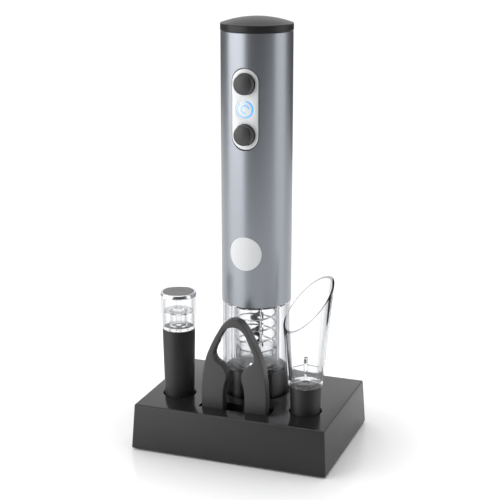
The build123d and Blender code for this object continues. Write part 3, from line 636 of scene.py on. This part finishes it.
# ---------------------------------------------------------------- cap
# A black ABS moulding with a low domed, spark-textured top. Its skirt drops into the tube and carries the
# contacts of the cells. It turns, then lifts off with them.
cap_low, cap_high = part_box("cap")
cap_radius = cap_high[0]
cap_top = cap_high[2]
cap_bottom = tube_top + 0.3 * mm
cap_edge = 0.8 * mm
dome_rise = 4.4 * mm
dome = (cap_radius ** 2 + dome_rise ** 2) / (2 * dome_rise)
roof = cap_top - 4.8 * mm
cap_points = []
for k in range(15):
    radius = (cap_radius - cap_edge) * k / 14
    cap_points.append((radius, cap_top - dome + math.sqrt(dome ** 2 - radius ** 2)))
cap_points += arc(cap_radius - cap_edge, cap_points[-1][1] - cap_edge, cap_edge, 70, 0, 6)
cap_points += [(cap_radius, cap_bottom + 0.3 * mm), (cap_radius - 0.3 * mm, cap_bottom),
               (tube_bore - 0.3 * mm, cap_bottom), (tube_bore - 0.3 * mm, cap_low[2]),
               (tube_bore - 2.7 * mm, cap_low[2]), (tube_bore - 2.7 * mm, roof), (0, roof)]
cap = turned("cap_moulding", cap_points, (0, opener_y, 0), steps=144)
smooth(cap, 35)
cap_black = Finish("cap_black", specular_ior_level=0.25)
scratches = cap_black.grain(0.7 * mm, detail=4, stretch=(0.12, 1, 1))
clouds = cap_black.grain(20 * mm, detail=3)
cap_black.feed("Base Color", cap_black.tint(clouds, (0.014, 0.014, 0.015), (0.020, 0.020, 0.021)))
cap_black.feed("Roughness", 0.34 + (scratches - 0.5) * 0.2)
cap_black.relief(cap_black.grain(0.2 * mm), 0.02 * mm)
cap_black.on(cap)
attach(cap, "cap")
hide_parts("cap")


# ---------------------------------------------------------------- button panel, buttons and light
# A silver ABS plate, painted, stands in the window. Two flat black buttons rise through it, and between them
# is a lens with a blue light behind a printed mask. The icon is a broken ring with a short arc inside it.
button_radius = 6.95 * mm
button_rise = 17.3 * mm
hole = button_radius + 0.3 * mm
panel_outlines = [stadium(panel_width, panel_height, panel_z), circle(hole, 0, panel_z + button_rise),
                  circle(hole, 0, panel_z - button_rise), circle(6.5 * mm, 0, panel_z)]
panel = upright_slab("panel_plate", panel_outlines, panel_high[1], panel_low[1], 0.4 * mm)
smooth(panel, 35)
silver = Finish("silver_paint")
flakes = silver.grain(0.14 * mm, detail=1)
clouds = silver.grain(18 * mm, detail=2)
across = silver.place()[0] / mm
silver.feed("Base Color", silver.tint(clouds, (0.70, 0.71, 0.72), (0.73, 0.74, 0.75)))
silver.feed("Metallic", 0.3 + (flakes - 0.5) * 0.2)
silver.feed("Roughness", 0.42 + (flakes - 0.5) * 0.1)
silver.relief(across * across * -0.009 + flakes * 0.004, 1 * mm)
silver.on(panel)
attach(panel, "opener")
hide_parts("button_panel")

button_black = moulded("button_black", (0.026, 0.026, 0.027), 0.3, 0.008 * mm, coat_weight=0.1,
                       coat_roughness=0.2)
for node in ("button_up", "button_down"):
    low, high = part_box(node)
    button_z = (low[2] + high[2]) / 2
    radius = button_radius
    front = low[1]
    flange = high[1] - 1 * mm
    points = [(0, front), (radius - 1.1 * mm, front), (radius - 0.7 * mm, front + 0.1 * mm),
              (radius - 0.25 * mm, front + 0.45 * mm), (radius, front + 1.1 * mm), (radius, flange),
              (high[0], flange), (high[0], high[1]), (0, high[1])]
    button = turned(node + "_key", points, (0, 0, button_z), axis="Y", steps=72)
    smooth(button, 40)
    button_black.on(button)
    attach(button, node)
    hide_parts(node)

lens_low, lens_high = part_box("status_lens")
lens_radius = (lens_high[0] - lens_low[0]) / 2
lens_edge = lens_radius - 0.1 * mm
lens_points = [(0, lens_low[1]), (lens_radius - 0.5 * mm, lens_low[1] + 0.05 * mm),
               (lens_edge, lens_low[1] + 0.3 * mm), (lens_edge, lens_high[1]), (0, lens_high[1])]
lens = turned("light_lens", lens_points, (0, 0, panel_z), axis="Y", steps=72)
smooth(lens, 40)
glow = Finish("blue_light", emission_strength=0.5, coat_weight=0.3, coat_roughness=0.1)
x, y, z = glow.place()
rise = z - panel_z
across = glow.node("ShaderNodeVectorMath", {"operation": "LENGTH"},
                   {0: glow.node("ShaderNodeCombineXYZ", inputs={0: x, 1: rise})}, output="Value")
bearing = glow.node("ShaderNodeMath", {"operation": "ARCTAN2"}, {0: rise, 1: x})
ring = 1 - abs(across - lens_radius * 0.74).between(0.35 * mm, 0.75 * mm)
ring = ring * (1 - abs(bearing - 1.9).between(0.5, 0.25))
swirl = 1 - abs(across - lens_radius * 0.36).between(0.3 * mm, 0.7 * mm)
swirl = swirl * (1 - abs(bearing + 0.6).between(0.9, 0.6))
icon = glow.node("ShaderNodeMath", {"operation": "MAXIMUM"}, {0: ring, 1: swirl})
strong = icon * (0.45 + x.between(-lens_radius, lens_radius) * 0.55)
glow.feed("Base Color", glow.tint(strong, (0.72, 0.74, 0.76), (0.03, 0.30, 0.80)))
glow.feed("Emission Color", glow.tint(strong, (0.10, 0.12, 0.14), (0.06, 0.50, 1.0)))
glow.feed("Roughness", 0.3 + strong * 0.05)
glow.on(lens)
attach(lens, "opener")
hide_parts("status_lens")


# ---------------------------------------------------------------- foil cutter
# A one-piece nylon bow. Its two legs are squeezed together so that four small steel wheels bite the foil.
# The legs stand in the slot. Each half is one smooth moulding from the crown to its foot.
bow_low, bow_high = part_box("cutter_bow")
cutter_front, cutter_back = bow_low[1], bow_high[1]
crown = bow_high[2]
foot = arm_low[2]


def cutter_outline():
    """Closed outline of the whole bow: outside of the right half, its foot and inside, then the left half."""
    outside = [(2.8, -0.35), (6.6, -2.6), (12.0, -10.6), (16.6, -19.5), (20.6, -29.5), (23.0, -40.8),
               (24.15, -53.8), (24.15, -66.8), (23.3, None)]
    inside = [(8.4, None), (7.65, -66.8), (7.9, -56.8), (6.9, -48.8), (5.35, -42.2), (6.2, -38.4),
              (9.0, -34.2), (13.4, -30.8), (14.85, -27.4), (14.0, -23.2), (11.4, -17.8), (8.4, -11.2),
              (4.6, -6.9), (1.8, -5.75)]
    half = [(across * mm, foot if drop is None else crown + drop * mm) for across, drop in outside + inside]
    other = [(-across, rise) for across, rise in reversed(half)]
    points = [(0, crown)] + half + [(0, crown - 5.6 * mm)] + other
    handles = ["VECTOR" if rise == foot else "AUTO" for across, rise in points]
    return points, handles


cutter_nylon = moulded("cutter_nylon", (0.040, 0.040, 0.041), 0.42, 0.02 * mm)
for side, name in ((1, "right"), (-1, "left")):
    half = upright_slab("cutter_half_" + name, [cutter_outline()], cutter_back, cutter_front, 0.9 * mm,
                        resolution=5)
    smooth(half, 40)
    bpy.ops.object.mode_set(mode="EDIT")
    bpy.ops.mesh.select_all(action="SELECT")
    bpy.ops.mesh.bisect(plane_co=(0, 0, 0), plane_no=(side, 0, 0), clear_inner=True)
    bpy.ops.object.mode_set(mode="OBJECT")
    cutter_nylon.on(half)
    arm = "cutter_arm_" + name
    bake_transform(half)
    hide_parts(arm)
    if side == 1:
        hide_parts("cutter_bow")


# ---------------------------------------------------------------- vacuum stopper
# A tapered rubber plug, a clear styrene head with an inner plate and valve button, and a knob: a satin dark
# disc pressed into a chromed ring. Lifting the knob pumps the air out through the barrel.
def soft_rubber(name, tone):
    """Matt silicone rubber with fine speckle, a trace of moulding lines and rubbed patches."""
    finish = Finish(name, sheen_weight=0.04, sheen_roughness=0.4, specular_ior_level=0.4)
    clouds = finish.grain(12 * mm, detail=4)
    rubbed = finish.grain(4 * mm, detail=5, stretch=(1, 1, 0.35), roughness=0.7)
    finish.feed("Base Color", finish.tint(clouds, [tone * 0.85] * 3, [tone * 1.15] * 3))
    finish.feed("Roughness", 0.5 + (rubbed - 0.5) * 0.14)
    finish.relief(finish.grain(0.18 * mm, detail=2), 0.02 * mm)
    return finish


plug_rubber = soft_rubber("plug_rubber", 0.012)
plug_bottom, plug_top = stopper_low[2], stopper_high[2]
plug_radius = (stopper_high[0] - stopper_low[0]) / 2
plug_foot = 10.15 * mm
plug_bore = 7.4 * mm


def plug_outline(bore, foot, radius, bottom, top):
    """Profile of a tapered rubber plug with a rounded foot and shoulder."""
    return [(bore, bottom), (foot - 0.8 * mm, bottom), (foot, bottom + 0.8 * mm),
            (radius - 0.03 * mm, top - 0.7 * mm), (radius - 0.4 * mm, top - 0.05 * mm),
            (bore, top - 0.05 * mm)]


plug_points = plug_outline(plug_bore, plug_foot, plug_radius, plug_bottom, plug_top)
plug = turned("stopper_plug", plug_points, (stopper_x, stopper_y, 0))
smooth(plug, 35)
plug_rubber.on(plug)
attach(plug, "stopper")
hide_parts("stopper_rubber")

head_low, head_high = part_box("stopper_head")
head_bottom, head_top = head_low[2], head_high[2]
head_radius = (head_high[0] - head_low[0]) / 2
head_neck = plug_radius + 0.05 * mm
plate_z = head_bottom + 12.2 * mm
head_floor = head_bottom + 2 * mm
head_points = [(2.2 * mm, head_bottom), (head_neck - 0.3 * mm, head_bottom),
               (head_neck, head_bottom + 0.3 * mm),
               (head_radius - 0.35 * mm, head_bottom + 10.6 * mm),
               (head_radius - 0.1 * mm, head_bottom + 11.6 * mm),
               (head_radius - 0.05 * mm, head_top - 0.4 * mm), (head_radius - 0.4 * mm, head_top),
               (head_radius - 1.4 * mm, head_top), (head_radius - 1.8 * mm, head_top - 0.4 * mm),
               (head_radius - 2.0 * mm, head_bottom + 2.4 * mm), (head_radius - 2.4 * mm, head_floor),
               (6.4 * mm, head_floor), (6.3 * mm, plate_z), (5.0 * mm, plate_z),
               (5.0 * mm, head_floor), (2.2 * mm, head_floor)]
head = turned("stopper_clear_head", head_points, (stopper_x, stopper_y, 0))
smooth(head, 35)
styrene = clear("clear_styrene", rough=0.02, haze=0.015 * mm, ior=1.08)
styrene.on(head)
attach(head, "stopper")
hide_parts("stopper_head")

plate_profile = [(2.3, 0.1), (10.2, 0.1), (10.4, 0.3), (10.4, 1.1), (10.2, 1.3), (4.4, 1.3), (4.1, 1.6),
                 (4.1, 2.6), (3.8, 2.9), (2.3, 2.9)]
plate_points = [(radius * mm, plate_z + rise * mm) for radius, rise in plate_profile]
plate = turned("stopper_inner_plate", plate_points, (stopper_x, stopper_y, 0))
smooth(plate, 35)
styrene.on(plate)
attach(plate, "stopper")

ring_low, ring_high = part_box("pump_ring")
ring_radius = (ring_high[0] - ring_low[0]) / 2
knob_radius = 11.0 * mm
ring_bottom, ring_top = ring_low[2], ring_high[2]
ring_points = [(knob_radius + 0.02 * mm, ring_bottom), (ring_radius - 0.4 * mm, ring_bottom),
               (ring_radius - 0.05 * mm, ring_bottom + 0.15 * mm), (ring_radius, ring_bottom + 0.5 * mm),
               (ring_radius - 0.7 * mm, ring_top - 0.5 * mm), (ring_radius - 0.95 * mm, ring_top - 0.12 * mm),
               (ring_radius - 1.3 * mm, ring_top), (knob_radius + 0.3 * mm, ring_top - 0.05 * mm),
               (knob_radius + 0.02 * mm, ring_top - 0.3 * mm)]
ring_piece = turned("pump_chrome_ring", ring_points, (stopper_x, stopper_y, 0))
smooth(ring_piece, 40)
chrome = metal("bright_chrome", (0.74, 0.75, 0.77), 0.24, 1.2 * mm, (1, 1, 0.3))
chrome.on(ring_piece)
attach(ring_piece, "stopper_pump")
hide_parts("pump_ring")

knob_low, knob_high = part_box("pump_knob")
knob_top = knob_high[2]
knob_edge = knob_radius - 0.03 * mm
knob_points = [(0, knob_top - 0.25 * mm), (knob_radius * 0.5, knob_top - 0.2 * mm),
               (knob_radius - 0.8 * mm, knob_top - 0.02 * mm),
               (knob_radius - 0.25 * mm, knob_top - 0.15 * mm), (knob_edge, knob_top - 0.5 * mm),
               (knob_edge, knob_low[2]), (0, knob_low[2])]
knob = turned("pump_knob_disc", knob_points, (stopper_x, stopper_y, 0))
smooth(knob, 35)
knob_black = moulded("knob_black", (0.10, 0.10, 0.102), 0.36, 0.015 * mm)
knob_black.on(knob)
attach(knob, "stopper_pump")
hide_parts("pump_knob")


# ---------------------------------------------------------------- pourer
# A rubber plug with a clear acrylic spout, cut at a slant so that its back right side makes a lip. Three webs
# and a centre pin stand over the hole in its floor and spread the wine.
pourer_foot = 9.3 * mm
pourer_radius = (pourer_high[0] - pourer_low[0]) / 2
pourer_top = pourer_high[2]
pourer_bore = 6 * mm
stem_points = plug_outline(pourer_bore, pourer_foot, pourer_radius, pourer_low[2], pourer_top)
stem = turned("pourer_plug", stem_points, (pourer_x, pourer_y, 0))
smooth(stem, 35)
plug_rubber.on(stem)
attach(stem, "pourer")
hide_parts("pourer_rubber")

spout_low, spout_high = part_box("pourer_spout")
spout_bottom, spout_top = spout_low[2], spout_high[2]
spout_neck = 12 * mm
spout_mouth = 19 * mm
spout_wall = 1.4 * mm
spout_floor = spout_bottom + 3 * mm
low_rim = 94.2 * mm
lip_turn = math.radians(45)
flare = (spout_mouth - spout_neck) / (spout_top - spout_bottom)
spout_hole = 3.75 * mm


def spout_radius(rise):
    return spout_neck + flare * (rise - spout_bottom)


above = spout_top + 3 * mm
spout_ceiling = spout_floor - 1.6 * mm
floor_edge = spout_radius(spout_floor) - spout_wall - 0.6 * mm
spout_points = [(spout_hole, spout_ceiling), (floor_edge, spout_ceiling),
                (spout_neck - spout_wall, spout_bottom), (spout_neck - 0.5 * mm, spout_bottom),
                (spout_neck, spout_bottom + 0.5 * mm),
                (spout_radius(above), above), (spout_radius(above) - spout_wall, above),
                (spout_radius(spout_floor + 0.6 * mm) - spout_wall, spout_floor + 0.6 * mm),
                (floor_edge, spout_floor), (spout_hole, spout_floor)]
spout = turned("spout_moulding", spout_points, (pourer_x, pourer_y, 0), steps=144)
low_reach = spout_radius(low_rim)
slant = math.atan2(spout_top - low_rim, low_reach + spout_mouth - 0.8 * mm)
lid = block("lid", (-0.1, -0.05, 0), (0.1, 0.05, 0.1))
lid.rotation_euler = (0, -slant, lip_turn)
lid.location = (pourer_x - low_reach * math.cos(lip_turn), pourer_y - low_reach * math.sin(lip_turn), low_rim)
only(lid)
bpy.ops.object.transform_apply(location=True, rotation=True, scale=True)
combine(spout, lid)
soften(spout, 0.35 * mm, segments=2, angle=40)
smooth(spout, 35)
acrylic = clear("clear_acrylic", rough=0.015, face=(0.94, 0.942, 0.945), edge=(0.60, 0.61, 0.63), gloss=0.5)
# Painted shade: besides the edge grey, the slanted cut rim and the upward faces of the webs are painted grey.
facing_x, facing_y, facing_z = acrylic.facing()
above_floor = acrylic.place()[2].between(spout_floor + 1 * mm, spout_floor + 2 * mm)
lipward = facing_x * math.cos(lip_turn) + facing_y * math.sin(lip_turn)
cut = (facing_z * math.cos(slant) - lipward * math.sin(slant)).between(0.78, 0.88)
web_edge = facing_z.between(0.8, 0.95)
painted_rim_shade = acrylic.node("ShaderNodeMath", {"operation": "MAXIMUM"}, {0: cut, 1: web_edge}) * above_floor
rim_shade_grey = (0.22, 0.225, 0.23, 1)
acrylic.feed("Base Color", acrylic.node("ShaderNodeMix", {"data_type": "RGBA"},
                                        {"Factor": painted_rim_shade, "A": acrylic.colour, "B": rim_shade_grey}, output=2))
acrylic.on(spout, "pourer_baffle")
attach(spout, "pourer")
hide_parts("pourer_spout")


# ---------------------------------------------------------------- inner works
# What the tube hides: nylon and acetal gears and carriers, sintered bush, steel motor, black ABS chassis,
# cell holder, four AA cells, plated contacts and the circuit board.
black_abs = moulded("inner_black_abs", (0.03, 0.03, 0.031), 0.5, 0.03 * mm)
black_abs.on("chassis_front", "chassis_rear", "battery_holder", "motor_mount", "motor_bell",
             "contact_carrier")
grey_nylon = moulded("grey_nylon", (0.32, 0.33, 0.34), 0.42, 0.02 * mm)
grey_nylon.on("gearbox_housing", "output_carrier", "middle_carrier", "worm_collar")
for stage in ("output", "motor"):
    grey_nylon.on(*(f"{stage}_planet_{k}" for k in (1, 2, 3)))
bronze = metal("sintered_bronze", (0.55, 0.34, 0.16), 0.4, 0.3 * mm, (1, 1, 1))
bronze.on("output_bush")
motor_steel = metal("motor_steel", (0.58, 0.59, 0.60), 0.3, 0.5 * mm, (1, 1, 0.1))
motor_steel.on("motor_can", "motor_rotor")
styrene.on("pump_piston", "stopper_barrel")
nickel = metal("nickel_plate", (0.66, 0.63, 0.58), 0.2, 0.3 * mm, (1, 1, 0.3))
nickel.on("contact_springs", "contact_plates", "cutter_pins_left", "cutter_pins_right")
wheel_steel = metal("wheel_steel", (0.62, 0.63, 0.65), 0.16, 0.25 * mm, (1, 0.1, 1))
for side in ("left", "right"):
    wheel_steel.on(*(f"cutter_wheel_{side}_{k}" for k in (1, 2)))
valve_rubber = soft_rubber("valve_rubber", 0.05)
valve_rubber.on("stopper_valve", "pourer_stem")

cells = Finish("cell_label", coat_weight=0.5, coat_roughness=0.15)
cell_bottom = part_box("battery_cells")[0][2]
height = cells.place()[2]
band = height.between(cell_bottom + 33 * mm, cell_bottom + 34 * mm)
print_dots = cells.grain(0.8 * mm, detail=3)
cells.feed("Base Color", cells.tint(band, (0.02, 0.05, 0.12), (0.55, 0.42, 0.12)))
cells.feed("Roughness", 0.28 + print_dots * 0.1)
cells.relief(print_dots, 0.01 * mm)
cells.on("battery_cells")

board = Finish("board_green", coat_weight=0.6, coat_roughness=0.2)
x, y, z = board.place()
upright = board.node("ShaderNodeCombineXYZ", inputs={0: x, 1: z})
tracks = board.node("ShaderNodeTexBrick", {"offset": 0.5},
                    {"Vector": upright, "Scale": 420.0, "Mortar Size": 0.03, "Color1": (0, 0, 0, 1),
                     "Color2": (0, 0, 0, 1), "Mortar": (1, 1, 1, 1)})
board.feed("Base Color", board.tint(tracks, (0.01, 0.10, 0.04), (0.03, 0.20, 0.08)))
board.feed("Roughness", 0.35 - tracks * 0.1)
board.relief(tracks, 0.03 * mm)
board.on("circuit_board")
switch_black = moulded("switch_black", (0.05, 0.05, 0.05), 0.4, 0.02 * mm)
switch_black.on("tact_switches")
glow.on("status_light")


# ---------------------------------------------------------------- studio
# Pale floor with a painted shadow round the object, a plain white background, a large soft light on the left
# and a softer one on the right. A white wall behind shows in the gloss, and the camera's side is dark.
floor = block("floor", (-1.3, -0.8, -0.02), (1.3, 1.0, -0.0001))
paper = Finish("pale_paper", specular_ior_level=0.4, emission_strength=0.3)
fibres = paper.grain(0.6 * mm, detail=4)
paper.feed("Base Color", paper.tint(fibres, (0.88, 0.88, 0.885), (0.90, 0.90, 0.905)))
x, y, z = paper.place()
# The floor glows to stay white, and its glow is painted dark close round the object as a painted contact
# shadow.
shadow_spot = paper.node("ShaderNodeCombineXYZ", inputs={0: x * 0.75, 1: y})
shadow_reach = paper.node("ShaderNodeVectorMath", {"operation": "LENGTH"}, {0: shadow_spot}, output="Value")
paper.feed("Emission Color", paper.tint(shadow_reach.between(0.05, 0.16), (0.05, 0.05, 0.05), (1, 1, 1)))
paper.feed("Roughness", 0.16 + fibres * 0.05)
paper.relief(fibres, 0.01 * mm, 0.1)
paper.on(floor)

camera_place = (0.2953, -0.8157, 0.3846)
camera_target = (-0.00108, 0, 0.14128)
camera_turn = math.atan2(camera_place[0], -camera_place[1])
world = bpy.data.worlds.new("studio")
bpy.context.scene.world = world
world.use_nodes = True
room = Nodes(world.node_tree)
ray = [room.node("ShaderNodeLightPath", output=k) for k in ("Is Camera Ray", "Is Transmission Ray")]
toward = room.node("ShaderNodeTexCoord", output="Generated")
x, y, z = [room.node("ShaderNodeSeparateXYZ", inputs={0: toward}, output=k) for k in range(3)]
behind = y * math.cos(camera_turn) - x * math.sin(camera_turn)
wall = behind.between(0.1, 0.6) * z.between(0.0, 0.12)
seen = room.node("ShaderNodeMath", {"operation": "MAXIMUM"}, dict(enumerate(ray)))
brightness = room.node("ShaderNodeMath", {"operation": "MAXIMUM"}, {0: seen * 1.05, 1: 0.07 + wall * 0.95})
room.tree.nodes["Background"].inputs["Color"].default_value = (1, 1, 1, 1)
room.tree.links.new(brightness.socket, room.tree.nodes["Background"].inputs["Strength"])


def softbox(name, azimuth, elevation, distance, width, tall, power):
    """Rectangular light aimed at the opener. Azimuth 0 is at the camera and 90 is on its right."""
    target = (0, opener_y, 0.16)
    a, e = camera_turn + math.radians(azimuth), math.radians(elevation)
    light = bpy.data.lights.new(name, "AREA")
    light.shape = "RECTANGLE"
    light.size = width
    light.size_y = tall
    light.energy = power
    lamp = bpy.data.objects.new(name, light)
    bpy.context.collection.objects.link(lamp)
    out = distance * math.cos(e)
    place = [out * math.sin(a), -out * math.cos(a), distance * math.sin(e)]
    lamp.location = [t + p for t, p in zip(target, place)]
    lamp.rotation_euler = (math.pi / 2 - e, 0, a)


softbox("left_softbox", -70, 8, 1.6, 1.9, 2.2, 38)
softbox("right_softbox", 80, 8, 1.6, 1.3, 2.2, 15)
softbox("top_softbox", 0, 88, 1.5, 1.6, 1.6, 16)

camera_data = bpy.data.cameras.new("camera")
camera_data.lens = 91.9
camera_data.sensor_width = 36
camera = bpy.data.objects.new("camera", camera_data)
bpy.context.collection.objects.link(camera)
camera.location = camera_place
reach = [t - p for p, t in zip(camera_place, camera_target)]
flat_reach = math.hypot(reach[0], reach[1])
camera.rotation_euler = (math.pi / 2 + math.atan2(reach[2], flat_reach), 0, math.atan2(-reach[0], reach[1]))
bpy.context.scene.camera = camera
bpy.context.scene.view_settings.view_transform = "Standard"
